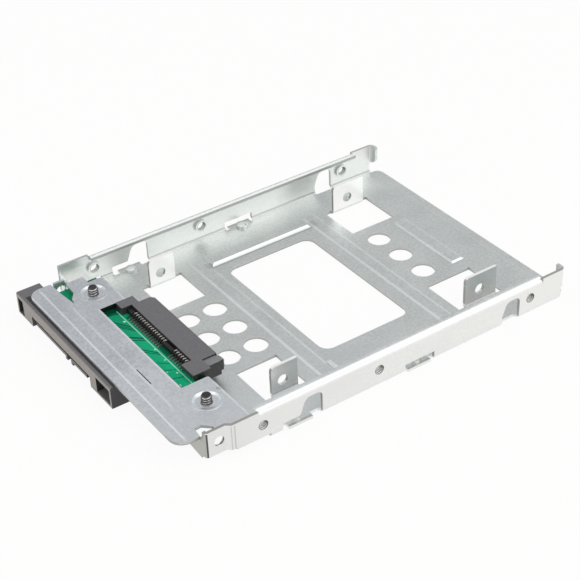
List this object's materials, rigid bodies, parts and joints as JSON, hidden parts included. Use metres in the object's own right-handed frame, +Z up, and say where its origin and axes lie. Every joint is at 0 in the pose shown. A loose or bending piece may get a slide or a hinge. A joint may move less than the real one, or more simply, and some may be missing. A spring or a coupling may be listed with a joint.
{
  "type": "drive bay adapter bracket",
  "caption": "Folded sheet-steel tray that fits a small drive into a larger drive bay, with a raised front section, circuit board, inner drive socket and outer plug.",
  "frame": {"origin": "middle of the bounding box on the underside of the floor", "axes": "+X from the plug end to the far end, +Y across towards the wall behind the plug's outer end, +Z up from the floor"},
  "size_m": [0.1462, 0.1016, 0.0115],
  "materials": {
    "galvanised_steel": "bright zinc-coated sheet",
    "board_green": "green solder mask",
    "black_plastic": "moulded, slightly satin",
    "contact_metal": "tin and gold plated",
    "screw_steel": "black oxide",
    "capacitor_brown": "fired ceramic"
  },
  "bodies": {
    "root": {"bracket": "galvanised_steel", "circuit_board": "board_green", "drive_socket_housing": "black_plastic", "drive_socket_power_contacts": "contact_metal", "drive_socket_signal_contacts": "contact_metal", "bay_plug_housing": "black_plastic", "bay_plug_power_contacts": "contact_metal", "bay_plug_signal_contacts": "contact_metal", "board_screws": "screw_steel", "board_capacitor": "capacitor_brown"}
  },
  "joints": []
}
